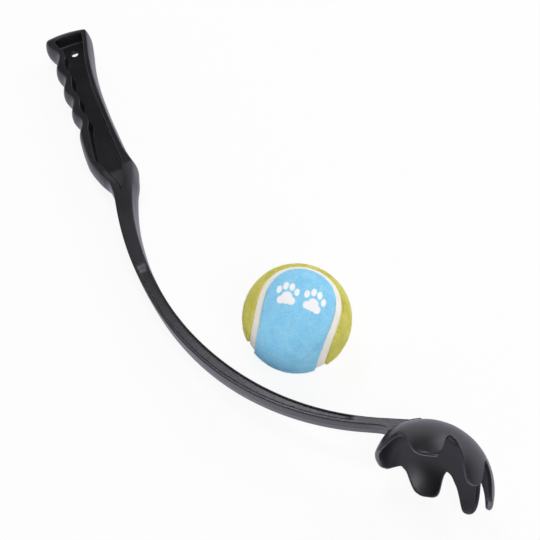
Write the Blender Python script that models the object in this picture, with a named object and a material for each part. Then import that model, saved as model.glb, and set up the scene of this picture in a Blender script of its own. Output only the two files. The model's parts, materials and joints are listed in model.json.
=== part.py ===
"""Dog ball thrower: a moulded arm with a finger grip and a clawed cup, and the felt ball it throws."""

import math

import bmesh
import bpy
import numpy as np
from mathutils import Matrix, Vector

# Ball, all lengths in metres
ball_radius = 0.0325
felt_thickness = 0.0027
rubber_wall = 0.0035
seam_width = 0.0063
seam_sink = 0.0010
seam_waist_deg = 41.5
seam_swing = 0.22
ball_gap = 0.0003
ball_turn_deg = (-101.4, -2.5, -138.5)
ball_along = 0.3064
ball_aside = 0.0014

# Grip: a straight spine, its half width at the crests of the finger rests, and the rests
grip_length = 0.1415
grip_half_width = 0.0148
grip_half_depth = 0.010
grip_crown = 0.0026
palm_crown = 0.0013
grip_lean_deg = 12.0
pommel_radius = 0.0045
pommel_slant = 0.0028
slant_reach = 0.022
first_rest_start = 0.005
first_rest_length = 0.028
first_rest_depth = 0.0050
rest_count = 3
rest_pitch = 0.023
rest_depth = 0.0034

# Pocket on each side of the grip's web, and the hang hole through the web
pommel_land = 0.0042
finger_land = 0.0060
palm_land = 0.0034
web_thickness = 0.0018
pocket_length = 0.1385
shallow_length = 0.022
palm_point_edge = ((0.102, 0.0038), (0.113, 0.0038), (0.1385, 0.0044), (0.1605, 0.0002))
finger_point_edge = ((0.102, 0.0091), (0.111, 0.0104), (0.129, 0.0120), (0.1605, 0.0006))
shallow_depth = 0.0028
hang_hole_radius = 0.0036
hang_boss_radius = 0.0052
hang_boss_height = 0.0003
hang_hole_along = 0.0146
hang_hole_aside = 0.0022

# Arm: a neck that turns off the grip, then three arcs that bow towards the cup
neck_reach = 0.0051
neck_radius = 0.032
neck_turn_deg = 15.1
arm_radii = (0.235, 0.182, 0.168)
arm_sweeps_deg = (24.4, 18.6, 33.6)
arm_half_width = 0.0055
arm_crown = 0.0010
channel_start = 0.082
channel_stop = 0.012
channel_depth = 0.0010
finger_rail = 0.0018
palm_rail = 0.0009

# Cup: a shell round the ball, cut into six claws
cup_fit = 0.0005
cup_wall = 0.0025
cup_reach = 0.0277
cup_sink = 0.0029
cup_tilt_deg = 18.0
heel_tuck = 0.0040
heel_tuck_start_deg = 52.0
web_start = 0.006
web_fillet_radius = 0.0045
web_landing_deg = 63.0

# Half widths of the grip: share of its length, share of grip_half_width
palm_edge_shares = (
    (0.0, 1.08), (0.09, 0.94), (0.23, 0.69), (0.36, 0.545),
    (0.55, 0.475), (0.74, 0.50), (0.92, 0.60), (1.0, 0.735))
finger_edge_shares = (
    (0.0, 1.05), (0.2, 0.99), (0.45, 1.02), (0.68, 1.0), (0.76, 1.06),
    (0.84, 1.09), (0.91, 1.06), (0.965, 0.94), (1.0, 0.84))
# Half widths past the grip: share of the length from the grip to the cup, share of arm_half_width
palm_side_shares = (
    (0.0, 1.98), (0.02, 1.72), (0.05, 1.40), (0.10, 1.18), (0.145, 1.03),
    (0.27, 0.86), (0.456, 0.765), (0.64, 0.675), (0.824, 0.50), (1.0, 0.39))
finger_side_shares = (
    (0.0, 2.26), (0.02, 1.87), (0.05, 1.38), (0.08, 1.04), (0.11, 0.93), (0.145, 0.88),
    (0.27, 0.76), (0.36, 0.68), (0.456, 0.68), (0.64, 0.71), (0.824, 0.59), (1.0, 0.38))
# Half depth past the grip as a share of grip_half_depth
depth_shares = ((0.0, 1.0), (0.05, 0.88), (0.15, 0.83), (0.45, 0.80), (1.0, 0.65))

# Claws round the cup's pole: direction from the toe, and how far down it reaches
claws_deg = ((0.0, 86.5), (53.5, 87.7), (102.0, 83.3), (180.0, 81.0))
# Flat part of each claw's tip, on its side towards the toe and on its side towards the heel
claw_flat_shares = ((0.62, 0.62), (0.18, 0.18), (0.44, 0.18), (0.46, 0.46))
# Notches between the claws: direction from the toe, and how far down the notch starts
notches_deg = ((31.0, 56.5), (78.0, 53.0), (130.0, 64.5))
# Level part of each notch, towards the claw on its toe side and on its heel side
notch_flat_shares = ((0.075, 0.07), (0.43, 0.10), (0.07, 0.03))
claw_sweep = 0.30
sweep_start_deg = 60.0
heel_narrowing = 4

# Crowned sides: a corner between the face's edge and the middle
swell_share = 0.72
lift_share = 0.5
# How much of the finger rests' wave the pocket's edge follows, and how far its end narrows
pocket_wave_share = 0.6
# Radial reach of the cones that cut the ball's cover
cone_reach_shares = (1.5, 0.5)

grip_step = rest_pitch / 8
fillet_steps = 4
point_steps = 4
drum_segments = 32
hollow_segments = 64
sharp_angle_deg = 35.0
arm_steps = 34
cup_columns = 144
cup_rings = 9
seam_points = 64
felt_rings = 8
sphere_segments = 36
core_segments = 28
core_rings = 7
overrun = 0.004


def clear_scene():
    for item in list(bpy.data.objects):
        bpy.data.objects.remove(item, do_unlink=True)


def make_collection(name):
    collection = bpy.data.collections.new(name)
    bpy.context.scene.collection.children.link(collection)
    return collection


def make_material(name, colour, roughness):
    material = bpy.data.materials.new(name)
    material.use_nodes = True
    shader = material.node_tree.nodes["Principled BSDF"]
    shader.inputs["Base Color"].default_value = (*colour, 1.0)
    shader.inputs["Roughness"].default_value = roughness
    shader.inputs["Metallic"].default_value = 0.0
    return material


def smooth_value(shares, place):
    """Value at a place on the smooth curve through (place, value) pairs."""
    places = [pair[0] for pair in shares]
    values = [pair[1] for pair in shares]
    slopes = np.gradient(values, places)
    place = min(max(place, places[0]), places[-1])
    index = min(int(np.searchsorted(places, place, side="right")) - 1, len(places) - 2)
    span = places[index + 1] - places[index]
    t = (place - places[index]) / span
    start = values[index] * (1 + 2 * t) + slopes[index] * span * t
    end = values[index + 1] * (3 - 2 * t) - slopes[index + 1] * span * (1 - t)
    return start * (1 - t) ** 2 + end * t ** 2


def spine_pieces():
    """Lengths and left turns of the straight grip, the neck and the arm's arcs."""
    neck_turn = math.radians(neck_turn_deg)
    pieces = [(grip_length + neck_reach, 0.0), (neck_radius * neck_turn, -neck_turn)]
    for radius, sweep_deg in zip(arm_radii, arm_sweeps_deg):
        sweep = math.radians(sweep_deg)
        pieces.append((radius * sweep, sweep))
    return pieces


spine_length = sum(length for length, turn in spine_pieces())
arm_length = spine_length - grip_length


def spine_at(distance):
    """Point, heading and left direction of the spine in the thrower's own plane."""
    point = Vector((0.0, 0.0, 0.0))
    heading = -math.radians(grip_lean_deg)
    for length, turn in spine_pieces():
        run = min(distance, length)
        bend = turn * run / length
        if turn:
            radius = length / turn
            point.x += radius * (math.sin(heading + bend) - math.sin(heading))
            point.y += radius * (math.cos(heading) - math.cos(heading + bend))
        else:
            point.x += run * math.cos(heading)
            point.y += run * math.sin(heading)
        heading += bend
        distance -= run
        if distance <= 0:
            break
    ahead = Vector((math.cos(heading), math.sin(heading), 0.0))
    left = Vector((-math.sin(heading), math.cos(heading), 0.0))
    return point + ahead * distance, ahead, left


def rest_hollow(distance):
    """Depth of the finger rests below the crest line at a distance along the grip."""
    starts = [first_rest_start] + [
        first_rest_start + first_rest_length + index * rest_pitch for index in range(rest_count)]
    lengths = [first_rest_length] + [rest_pitch] * rest_count
    depths = [first_rest_depth] + [rest_depth] * rest_count
    for start, length, depth in zip(starts, lengths, depths):
        if start <= distance <= start + length:
            return depth * (1 - math.cos(2 * math.pi * (distance - start) / length)) / 2
    return 0.0


def corner_inset(distance):
    """How far the pommel's rounded end draws in its sides."""
    if distance >= pommel_radius:
        return 0.0
    rise = pommel_radius - distance
    return pommel_radius - math.sqrt(pommel_radius ** 2 - rise ** 2)


def palm_offset(distance):
    if distance <= grip_length:
        return grip_half_width * smooth_value(palm_edge_shares, distance / grip_length)
    return arm_half_width * smooth_value(palm_side_shares, (distance - grip_length) / arm_length)


def finger_offset(distance):
    if distance <= grip_length:
        return grip_half_width * smooth_value(finger_edge_shares, distance / grip_length)
    return arm_half_width * smooth_value(finger_side_shares, (distance - grip_length) / arm_length)


def half_depth(distance):
    return grip_half_depth * smooth_value(depth_shares, (distance - grip_length) / arm_length)


def crown(distance, start):
    past = min(max((distance - grip_length) / (neck_reach + neck_radius), 0.0), 1.0)
    return start + (arm_crown - start) * past


def pommel_slip(distance):
    """How far the grip's slanted end runs out on the finger side, fading along the grip."""
    return pommel_slant * max(1 - distance / slant_reach, 0.0) ** 2


def loft(name, sections, collection):
    """Closed solid through rings of points that have the same count."""
    mesh = bmesh.new()
    rings = [[mesh.verts.new(point) for point in section] for section in sections]
    count = len(rings[0])
    for ring, following in zip(rings, rings[1:]):
        for index in range(count):
            after = (index + 1) % count
            mesh.faces.new((ring[index], ring[after], following[after], following[index]))
    mesh.faces.new(list(reversed(rings[0])))
    mesh.faces.new(rings[-1])
    bmesh.ops.recalc_face_normals(mesh, faces=mesh.faces)
    data = bpy.data.meshes.new(name)
    mesh.to_mesh(data)
    mesh.free()
    item = bpy.data.objects.new(name, data)
    collection.objects.link(item)
    return item


def stations(start, stop):
    """Distances along the spine, closer together where the finger rests wave."""
    wave_end = grip_length + neck_reach + neck_radius
    fine = list(np.arange(start, min(stop, wave_end), grip_step))
    if stop <= wave_end:
        return fine + [stop]
    return fine + list(np.linspace(max(start, wave_end), stop, arm_steps))


def body_section(distance):
    """Ring of the moulding's outside: flat faces above and below, crowned sides."""
    point, ahead, left = spine_at(distance)
    inset = corner_inset(distance)
    palm = palm_offset(distance) - inset
    finger = finger_offset(distance) - rest_hollow(distance) - inset
    palm_bulge, bulge = crown(distance, palm_crown), crown(distance, grip_crown)
    palm_swell, swell = palm_bulge * swell_share, bulge * swell_share
    depth = half_depth(distance) - inset * grip_crown / pommel_radius
    lift = depth * lift_share
    slip = pommel_slip(distance) / (palm + finger)
    ring = [
        (palm, depth), (palm + palm_swell, lift), (palm + palm_bulge, 0.0), (palm + palm_swell, -lift),
        (palm, -depth), (-finger, -depth), (-finger - swell, -lift), (-finger - bulge, 0.0),
        (-finger - swell, lift), (-finger, depth)]
    return [
        point + left * across - ahead * slip * (palm - across) + Vector((0.0, 0.0, up)) for across, up in ring]


def make_body(parts):
    """Grip, neck and arm in one run, carried on into the cup's wall."""
    places = [0.0, pommel_radius / 4, pommel_radius / 2]
    places += stations(pommel_radius, spine_length)
    places.append(spine_length + cup_reach)
    return loft("thrower_moulding", [body_section(place) for place in places], parts)


def pocket_edges(distance):
    """Offsets of the pocket's palm and finger edges from the spine."""
    if distance > palm_point_edge[0][0]:
        return [float(np.interp(distance, *zip(*line))) for line in (palm_point_edge, finger_point_edge)]
    palm = palm_offset(distance) - palm_land
    finger = finger_offset(distance) - finger_land - rest_hollow(distance) * pocket_wave_share
    return palm, finger


def pocket_section(distance, low, high):
    """Rectangle across the grip's pocket."""
    point, _, left = spine_at(distance)
    palm, finger = pocket_edges(distance)
    ring = [(palm, high), (palm, low), (-finger, low), (-finger, high)]
    return [point + left * across + Vector((0.0, 0.0, up)) for across, up in ring]


def make_pockets(cutters):
    """Deep pocket and shallow pointed end, above the web and mirrored below it."""
    found = []
    web = web_thickness / 2
    top = grip_half_depth + overrun
    deep = stations(pommel_land, pocket_length)
    point_end = pocket_length + shallow_length
    shallow_floor = half_depth(point_end) - shallow_depth
    pointed = [pocket_length - rest_pitch / 4]
    pointed += list(np.linspace(pocket_length, point_end, point_steps + 1))
    for side in (1, -1):
        for name, run, floor in (("pocket", deep, web), ("pocket_point", pointed, shallow_floor)):
            sections = [pocket_section(place, side * floor, side * top) for place in run]
            found.append(loft(name, sections, cutters))
    return found


def channel_section(distance, side):
    point, _, left = spine_at(distance)
    palm = palm_offset(distance) - palm_rail
    finger = finger_offset(distance) - finger_rail
    floor = half_depth(distance) - channel_depth
    top = half_depth(distance) + overrun
    ring = [(palm, side * top), (palm, side * floor), (-finger, side * floor), (-finger, side * top)]
    return [point + left * across + Vector((0.0, 0.0, up)) for across, up in ring]


def make_channels(cutters):
    """Shallow channel along each face of the arm."""
    start = grip_length + channel_start
    places = np.linspace(start, spine_length - channel_stop, arm_steps)
    found = []
    for side in (1, -1):
        found.append(loft("channel", [channel_section(place, side) for place in places], cutters))
    return found


def make_sphere(name, radius, segments, place, collection):
    bpy.ops.mesh.primitive_uv_sphere_add(
        segments=segments, ring_count=segments // 2, radius=radius, location=place)
    sphere = bpy.context.object
    sphere.name = name
    for holder in list(sphere.users_collection):
        holder.objects.unlink(sphere)
    collection.objects.link(sphere)
    return sphere


def make_drum(name, radius, height, place, collection):
    bpy.ops.mesh.primitive_cylinder_add(
        vertices=drum_segments, radius=radius, depth=height, location=place)
    drum = bpy.context.object
    drum.name = name
    for holder in list(drum.users_collection):
        holder.objects.unlink(drum)
    collection.objects.link(drum)
    return drum


def cup_frame():
    """Centre of the cup and its axes: towards the dome's top, towards the toe claw, and up."""
    end, ahead, left = spine_at(spine_length)
    inner = ball_radius + cup_fit
    centre = end + ahead * cup_reach - left * (inner + cup_wall - cup_sink)
    tilt = math.radians(cup_tilt_deg)
    pole = left * math.cos(tilt) + ahead * math.sin(tilt)
    toe = ahead * math.cos(tilt) - left * math.sin(tilt)
    return centre, pole, toe, Vector((0.0, 0.0, 1.0))


def claw_limit(angle_deg):
    """How far the shell reaches from the dome's top in a direction counted from the toe."""
    angle = abs((angle_deg + 180.0) % 360.0 - 180.0)
    index = sum(1 for notch, start in notches_deg if angle > notch)
    claw, tip = claws_deg[index]
    heelwards = 1 if angle >= claw and index < len(notches_deg) else 0
    notch, start = notches_deg[index - 1 + heelwards]
    flat = claw_flat_shares[index][heelwards]
    level = notch_flat_shares[index - 1 + heelwards][1 - heelwards]
    t = (abs(angle - claw) / abs(notch - claw) - flat) / (1 - flat - level)
    t = min(max(t, 0.0), 1.0)
    return start + (tip - start) * (1 + math.cos(math.pi * t)) / 2


def capped_shell(name, limits, rings, place_at, collection):
    """Closed shell round a pole: each column reaches its own limit, on an outer and an inner layer."""
    mesh = bmesh.new()
    layers = []
    for layer in (0, 1):
        top = mesh.verts.new(place_at(0, 0.0, layer))
        columns = []
        for column, limit in enumerate(limits):
            polars = [limit * (ring + 1) / rings for ring in range(rings)]
            columns.append([mesh.verts.new(place_at(column, polar, layer)) for polar in polars])
        for column, following in zip(columns, columns[1:] + columns[:1]):
            mesh.faces.new((top, column[0], following[0]))
            for ring in range(rings - 1):
                below = ring + 1
                mesh.faces.new((column[ring], column[below], following[below], following[ring]))
        layers.append([column[-1] for column in columns])
    outer, inner = layers
    for index in range(len(limits)):
        after = (index + 1) % len(limits)
        mesh.faces.new((outer[index], outer[after], inner[after], inner[index]))
    bmesh.ops.recalc_face_normals(mesh, faces=mesh.faces)
    data = bpy.data.meshes.new(name)
    mesh.to_mesh(data)
    mesh.free()
    item = bpy.data.objects.new(name, data)
    collection.objects.link(item)
    return item


def make_cup(cutters):
    """Clawed shell whose outside is a sphere, with the heel claw drawn in."""
    centre, pole, toe, up = cup_frame()
    outer = ball_radius + cup_fit + cup_wall
    turns = [2 * math.pi * column / cup_columns for column in range(cup_columns)]
    limits = [math.radians(claw_limit(math.degrees(turn))) for turn in turns]
    tuck_start = math.radians(heel_tuck_start_deg)
    heel_reach = math.radians(claws_deg[-1][1])
    sweep_start = math.radians(sweep_start_deg)

    def place_at(column, polar, layer):
        turn = turns[column]
        share = max(polar - tuck_start, 0.0) / (heel_reach - tuck_start)
        towards_heel = max(-math.cos(turn), 0.0) ** heel_narrowing
        radius = outer - heel_tuck * towards_heel * share - cup_wall * layer
        turn -= claw_sweep * max(polar - sweep_start, 0.0) * math.sin(turn)
        out = toe * math.cos(turn) + up * math.sin(turn)
        return centre + (pole * math.cos(polar) + out * math.sin(polar)) * radius

    return capped_shell("cup", limits, cup_rings, place_at, cutters)


def make_web(cutters):
    """Flat web that fills the corner between the arm's outer side and the cup's heel."""
    centre, pole, toe, up = cup_frame()
    outer = ball_radius + cup_fit + cup_wall
    end, ahead, left = spine_at(spine_length - web_start)
    landing = math.radians(web_landing_deg)
    heel = centre + (pole * math.cos(landing) - toe * math.sin(landing)) * (outer - cup_wall / 2)
    foot = end - left * finger_offset(spine_length - web_start)
    corner = foot + ahead * web_fillet_radius * 2
    outline = [end, foot]
    for step in range(1, fillet_steps):
        share = step / fillet_steps
        outline.append(foot.lerp(corner, share).lerp(corner.lerp(heel, share), share))
    outline.append(heel)
    outline.append(centre + pole * (outer - cup_wall / 2))
    depth = half_depth(spine_length)
    sections = [[point + up * level for point in outline] for level in (depth, -depth)]
    return loft("web", sections, cutters)


def combine(item, other, operation):
    """Apply one Boolean of the other solid to the item."""
    boolean = item.modifiers.new(other.name, "BOOLEAN")
    boolean.object = other
    boolean.operation = operation
    boolean.solver = "EXACT"


def apply_all(item):
    """Fix the modifiers' result into the item's own mesh."""
    shape = bpy.data.meshes.new_from_object(item.evaluated_get(bpy.context.evaluated_depsgraph_get()))
    item.modifiers.clear()
    item.data = shape


def make_thrower(parts, cutters):
    centre = cup_frame()[0]
    inner = ball_radius + cup_fit + cup_wall / 4
    body = make_body(parts)
    web = make_web(cutters)
    combine(body, web, "UNION")
    hollow = make_sphere("cup_hollow", inner, hollow_segments, centre, cutters)
    combine(body, hollow, "DIFFERENCE")
    for cutter in make_pockets(cutters) + make_channels(cutters):
        combine(body, cutter, "DIFFERENCE")
    spot, _, left = spine_at(hang_hole_along)
    spot = spot + left * hang_hole_aside
    boss_height = web_thickness + 2 * hang_boss_height
    boss = make_drum("hang_boss", hang_boss_radius, boss_height, spot, cutters)
    hole = make_drum("hang_hole", hang_hole_radius, grip_half_depth * 2, spot, cutters)
    combine(body, boss, "UNION")
    combine(body, hole, "DIFFERENCE")
    cup = make_cup(cutters)
    combine(body, cup, "UNION")
    bpy.context.view_layer.update()
    apply_all(body)
    return body


def solid_centre(mesh):
    """Centre of volume of a closed mesh."""
    total, moment = 0.0, Vector((0.0, 0.0, 0.0))
    mesh.calc_loop_triangles()
    for triangle in mesh.loop_triangles:
        a, b, c = (mesh.vertices[index].co for index in triangle.vertices)
        volume = a.dot(b.cross(c))
        total += volume
        moment += volume * (a + b + c) / 4
    return moment / total


def lying_turn(item):
    """Turn that lays the moulding on the side it rests on, on the floor."""
    middle = solid_centre(item.data)
    mesh = bmesh.new()
    mesh.from_mesh(item.data)
    hull = bmesh.ops.convex_hull(mesh, input=mesh.verts)
    unused = hull["geom_interior"] + hull["geom_unused"]
    loose = [corner for corner in unused if isinstance(corner, bmesh.types.BMVert)]
    bmesh.ops.delete(mesh, geom=loose, context="VERTS")
    bmesh.ops.triangulate(mesh, faces=mesh.faces)
    best, best_down = None, 0.0
    for face in mesh.faces:
        normal = face.normal
        a, b, c = (corner.co for corner in face.verts)
        foot = middle + normal * (a - middle).dot(normal)
        edges = ((a, b), (b, c), (c, a))
        sides = [(end - start).cross(foot - start).dot(normal) for start, end in edges]
        if min(sides) >= 0 and -normal.z > best_down:
            best, best_down = normal.copy(), -normal.z
    mesh.free()
    return best.rotation_difference(Vector((0.0, 0.0, -1.0))).to_matrix().to_4x4()


def seam_curve(t):
    """Direction from the ball's centre to a point of the seam, as t runs through two full turns."""
    waist = math.radians(seam_waist_deg)
    polar = math.pi / 2 - (math.pi / 2 - waist) * math.cos(t)
    turn = t / 2 + seam_swing * math.sin(2 * t)
    across = math.sin(polar)
    return Vector((across * math.cos(turn), across * math.sin(turn), math.cos(polar)))


def seam_point(index, aside):
    """Direction to the seam at one of its steps, moved towards the blue felt by an angle."""
    t = 4 * math.pi * (index + 0.5) / seam_points
    spot = seam_curve(t)
    along = seam_curve(t + 1 / seam_points) - seam_curve(t - 1 / seam_points)
    side = spot.cross(along).normalized()
    return spot * math.cos(aside) + side * math.sin(aside)


def ball_frame():
    about_x, about_y, about_z = (math.radians(angle) for angle in ball_turn_deg)
    tilt = Matrix.Rotation(about_y, 4, "Y") @ Matrix.Rotation(about_x, 4, "X")
    return Matrix.Rotation(about_z, 4, "Z") @ tilt


def make_panel_cone(name, flip, cutters):
    """Cap over one side of the seam, whose walls run straight out from the ball's centre."""
    aside = (seam_width / 2 + ball_gap) / ball_radius
    edge = [seam_point(column, aside * flip) for column in range(seam_points)]
    pole = Vector((0.0, 0.0, 1.0)) * flip
    limits = [pole.angle(spot) for spot in edge]

    def place_at(column, polar, layer):
        out = (edge[column] - pole * edge[column].dot(pole)).normalized()
        return (pole * math.cos(polar) + out * math.sin(polar)) * ball_radius * cone_reach_shares[layer]

    return capped_shell(name, limits, felt_rings, place_at, cutters)


def make_seam_cone(cutters):
    """Closed band along the seam, whose walls run straight out from the ball's centre."""
    half = seam_width / 2 / ball_radius
    far, near = (ball_radius * share for share in cone_reach_shares)
    corners = ((-half, near), (-half, far), (half, far), (half, near))
    mesh = bmesh.new()
    rows = []
    for index in range(seam_points):
        rows.append([mesh.verts.new(seam_point(index, aside) * reach) for aside, reach in corners])
    for row, following in zip(rows, rows[1:] + rows[:1]):
        for index in range(4):
            after = (index + 1) % 4
            mesh.faces.new((row[index], row[after], following[after], following[index]))
    bmesh.ops.recalc_face_normals(mesh, faces=mesh.faces)
    data = bpy.data.meshes.new("seam_cone")
    mesh.to_mesh(data)
    mesh.free()
    cone = bpy.data.objects.new("seam_cone", data)
    cutters.objects.link(cone)
    return cone


def make_cover_piece(name, outer, cone, parts, cutters):
    """Piece of the ball's cover: a spherical skin inside the cone's walls."""
    inner = ball_radius - felt_thickness
    piece = make_sphere(name, outer, sphere_segments, (0, 0, 0), parts)
    hollow = make_sphere(name + "_inside", inner, sphere_segments, (0, 0, 0), cutters)
    combine(piece, cone, "INTERSECT")
    combine(piece, hollow, "DIFFERENCE")
    return piece


def make_core_half(name, side, parts):
    """Half of the hollow rubber core, up to a hair's gap from the other half."""
    outer = ball_radius - felt_thickness - ball_gap
    inner = outer - rubber_wall
    lift = ball_gap / 2
    profile = []
    for step in range(core_rings + 1):
        angle = math.pi / 2 * step / core_rings
        profile.append((outer * math.sin(angle), side * (lift + outer * math.cos(angle))))
    for step in range(core_rings, -1, -1):
        angle = math.pi / 2 * step / core_rings
        profile.append((inner * math.sin(angle), side * (lift + inner * math.cos(angle))))
    mesh = bmesh.new()
    spots = [mesh.verts.new((across, 0.0, up)) for across, up in profile]
    for start, end in zip(spots, spots[1:]):
        mesh.edges.new((start, end))
    bmesh.ops.spin(
        mesh, geom=mesh.verts[:] + mesh.edges[:], cent=(0, 0, 0), axis=(0, 0, 1),
        angle=2 * math.pi, steps=core_segments, use_merge=False)
    bmesh.ops.remove_doubles(mesh, verts=mesh.verts, dist=ball_gap / 10)
    bmesh.ops.recalc_face_normals(mesh, faces=mesh.faces)
    data = bpy.data.meshes.new(name)
    mesh.to_mesh(data)
    mesh.free()
    half = bpy.data.objects.new(name, data)
    parts.objects.link(half)
    return half


def finish(item, material):
    item.data.materials.clear()
    item.data.materials.append(material)
    item.data.shade_smooth()
    item.data.set_sharp_from_angle(angle=math.radians(sharp_angle_deg))


def main():
    clear_scene()
    parts = make_collection("dog_ball_thrower")
    cutters = make_collection("cutters")

    thrower = make_thrower(parts, cutters)
    lay = lying_turn(thrower)
    corners = [lay @ corner.co for corner in thrower.data.vertices]
    low = Vector([min(corner[axis] for corner in corners) for axis in range(3)])
    high = Vector([max(corner[axis] for corner in corners) for axis in range(3)])
    shift = Vector((-(low.x + high.x) / 2, -(low.y + high.y) / 2, -low.z))
    thrower.matrix_basis = Matrix.Translation(shift) @ lay

    ball = bpy.data.objects.new("ball_centre", None)
    parts.objects.link(ball)
    spot = (lay @ Vector((ball_along, ball_aside, 0.0))) + shift
    spot.z = ball_radius
    ball.matrix_basis = Matrix.Translation(spot) @ ball_frame()
    blue_cone = make_panel_cone("blue_cone", 1, cutters)
    lime_cone = make_panel_cone("lime_cone", -1, cutters)
    seam_cone = make_seam_cone(cutters)
    pieces = {
        "ball_core_half_a": make_core_half("ball_core_half_a", 1, parts),
        "ball_core_half_b": make_core_half("ball_core_half_b", -1, parts),
        "felt_panel_blue": make_cover_piece("felt_panel_blue", ball_radius, blue_cone, parts, cutters),
        "felt_panel_lime": make_cover_piece("felt_panel_lime", ball_radius, lime_cone, parts, cutters),
        "ball_seam": make_cover_piece("ball_seam", ball_radius - seam_sink, seam_cone, parts, cutters),
    }
    bpy.context.view_layer.update()
    for piece in pieces.values():
        apply_all(piece)
        piece.parent = ball

    plastic = make_material("black_plastic", (0.030, 0.030, 0.034), 0.38)
    rubber = make_material("core_rubber", (0.05, 0.05, 0.05), 0.8)
    blue = make_material("blue_felt", (0.20, 0.55, 0.80), 0.95)
    lime = make_material("lime_felt", (0.55, 0.58, 0.10), 0.95)
    cream = make_material("cream_seam", (0.80, 0.76, 0.66), 0.7)
    finish(thrower, plastic)
    finish(pieces["ball_core_half_a"], rubber)
    finish(pieces["ball_core_half_b"], rubber)
    finish(pieces["felt_panel_blue"], blue)
    finish(pieces["felt_panel_lime"], lime)
    finish(pieces["ball_seam"], cream)

    for cutter in cutters.objects:
        cutter.hide_render = True
        cutter.display_type = "WIRE"


main()
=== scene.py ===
"""Dog ball thrower lying beside its felt ball on a pale floor, in soft studio light."""

import json
import math

import bpy
import numpy as np
from mathutils import Matrix, Vector, noise

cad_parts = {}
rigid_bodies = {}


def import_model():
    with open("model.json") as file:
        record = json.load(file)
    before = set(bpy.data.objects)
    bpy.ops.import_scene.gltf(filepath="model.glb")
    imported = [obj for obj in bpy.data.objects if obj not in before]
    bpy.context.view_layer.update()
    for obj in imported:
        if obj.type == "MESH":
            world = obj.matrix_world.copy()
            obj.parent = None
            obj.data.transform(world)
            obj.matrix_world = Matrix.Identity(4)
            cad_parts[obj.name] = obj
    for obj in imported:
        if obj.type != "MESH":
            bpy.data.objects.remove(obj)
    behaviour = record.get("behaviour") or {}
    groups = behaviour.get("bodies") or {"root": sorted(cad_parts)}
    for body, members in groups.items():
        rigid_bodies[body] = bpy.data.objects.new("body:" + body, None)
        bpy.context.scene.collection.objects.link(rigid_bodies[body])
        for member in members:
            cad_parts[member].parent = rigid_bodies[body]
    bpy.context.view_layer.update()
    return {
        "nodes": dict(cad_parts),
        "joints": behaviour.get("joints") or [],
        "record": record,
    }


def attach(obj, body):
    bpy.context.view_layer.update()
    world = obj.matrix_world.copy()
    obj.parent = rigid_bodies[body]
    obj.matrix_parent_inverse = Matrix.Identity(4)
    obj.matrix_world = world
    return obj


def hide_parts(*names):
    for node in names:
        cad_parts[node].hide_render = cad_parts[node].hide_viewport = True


for leftover in list(bpy.data.objects):
    bpy.data.objects.remove(leftover, do_unlink=True)

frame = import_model()
mounts = {mount["name"]: mount for mount in frame["record"]["mounts"]}
joints = {joint["name"]: joint for joint in frame["joints"]}

# Ball, all lengths in metres
ball_radius = 0.0325
felt_thickness = 0.0027
seam_width = 0.0063
seam_sink = 0.0010
seam_waist_deg = 41.5
seam_swing = 0.22
ball_gap = 0.0003
ball_turn_deg = (-101.4, -2.5, -138.5)

# Felt: its rolled edge, its uneven surface and its loose fibres
felt_edge_roll = 0.0013
felt_edge_drop = 0.0011
felt_edge_waver = 0.008
felt_waves = 0.00012
felt_tufts = 0.00013
felt_nap = 0.00009
fibre_count = 9000
fibre_lengths = (0.0009, 0.0021)
fibre_widths = (0.00005, 0.00009)
fibre_root = 0.0001
fibre_rises = (0.12, 0.75)
fibre_turns = (-0.6, 0.6)
fibre_edge_clearance = 0.004
fibre_floor_clearance = 0.0002

# Seam's cross-section: share of its half width, and depth below its top
seam_shoulders = ((0.5, 0.00002), (0.85, 0.00016), (1.04, 0.0005))
seam_foot_share = 1.06
seam_ripple = 0.00003

# Grip
grip_length = 0.1415
grip_half_width = 0.0148
grip_half_depth = 0.010
grip_crown = 0.0026
palm_crown = 0.0013
grip_lean_deg = 12.0
pommel_radius = 0.0045
pommel_slant = 0.0028
pommel_bow = 0.0018
slant_reach = 0.022
first_rest_start = 0.005
first_rest_length = 0.028
first_rest_depth = 0.0050
rest_count = 3
rest_pitch = 0.023
rest_depth = 0.0034

# Pocket and hang hole
pommel_land = 0.0042
finger_land = 0.0060
palm_land = 0.0034
web_thickness = 0.0018
deep_end = 0.1385
deep_ramp = 0.0016
point_end = 0.1605
point_fade = 0.002
palm_point_edge = ((0.102, 0.0038), (0.113, 0.0038), (0.1385, 0.0044), (0.1605, 0.0002))
finger_point_edge = ((0.102, 0.0091), (0.111, 0.0104), (0.129, 0.0120), (0.1605, 0.0006))
shallow_depth = 0.0045
pocket_corner = 0.0022
pocket_wave_share = 0.6
hang_hole_radius = 0.0027
hang_boss_radius = 0.0042
hang_boss_height = 0.0003
hang_hole_along = 0.0150
hang_hole_aside = 0.0009

# Arm
neck_reach = 0.0051
neck_radius = 0.032
neck_turn_deg = 15.1
arm_radii = (0.235, 0.182, 0.168)
arm_sweeps_deg = (24.4, 18.6, 33.6)
arm_half_width = 0.0055
arm_crown = 0.0003
channel_start = 0.082
channel_fade = 0.006
channel_stop = 0.012
channel_depth = 0.0010
finger_rail = 0.0018
palm_rail = 0.0009

# Cup
cup_fit = 0.0005
cup_wall = 0.0025
cup_reach = 0.0277
cup_sink = 0.0029
cup_tilt_deg = 18.0
heel_tuck = 0.0040
heel_tuck_start_deg = 52.0
heel_narrowing = 4
web_start = 0.006
web_run_out = 0.024
web_landing_deg = 57.0
web_sharpness = 4.0

# Rounding of the moulding's edges: on the grip and on the arm
edge_rounds = (0.0010, 0.00045)
rim_rounds = (0.0008, 0.00035)
foot_rounds = (0.0012, 0.0005)
wall_draft = 0.03
parting_rise = 0.00005

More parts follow.
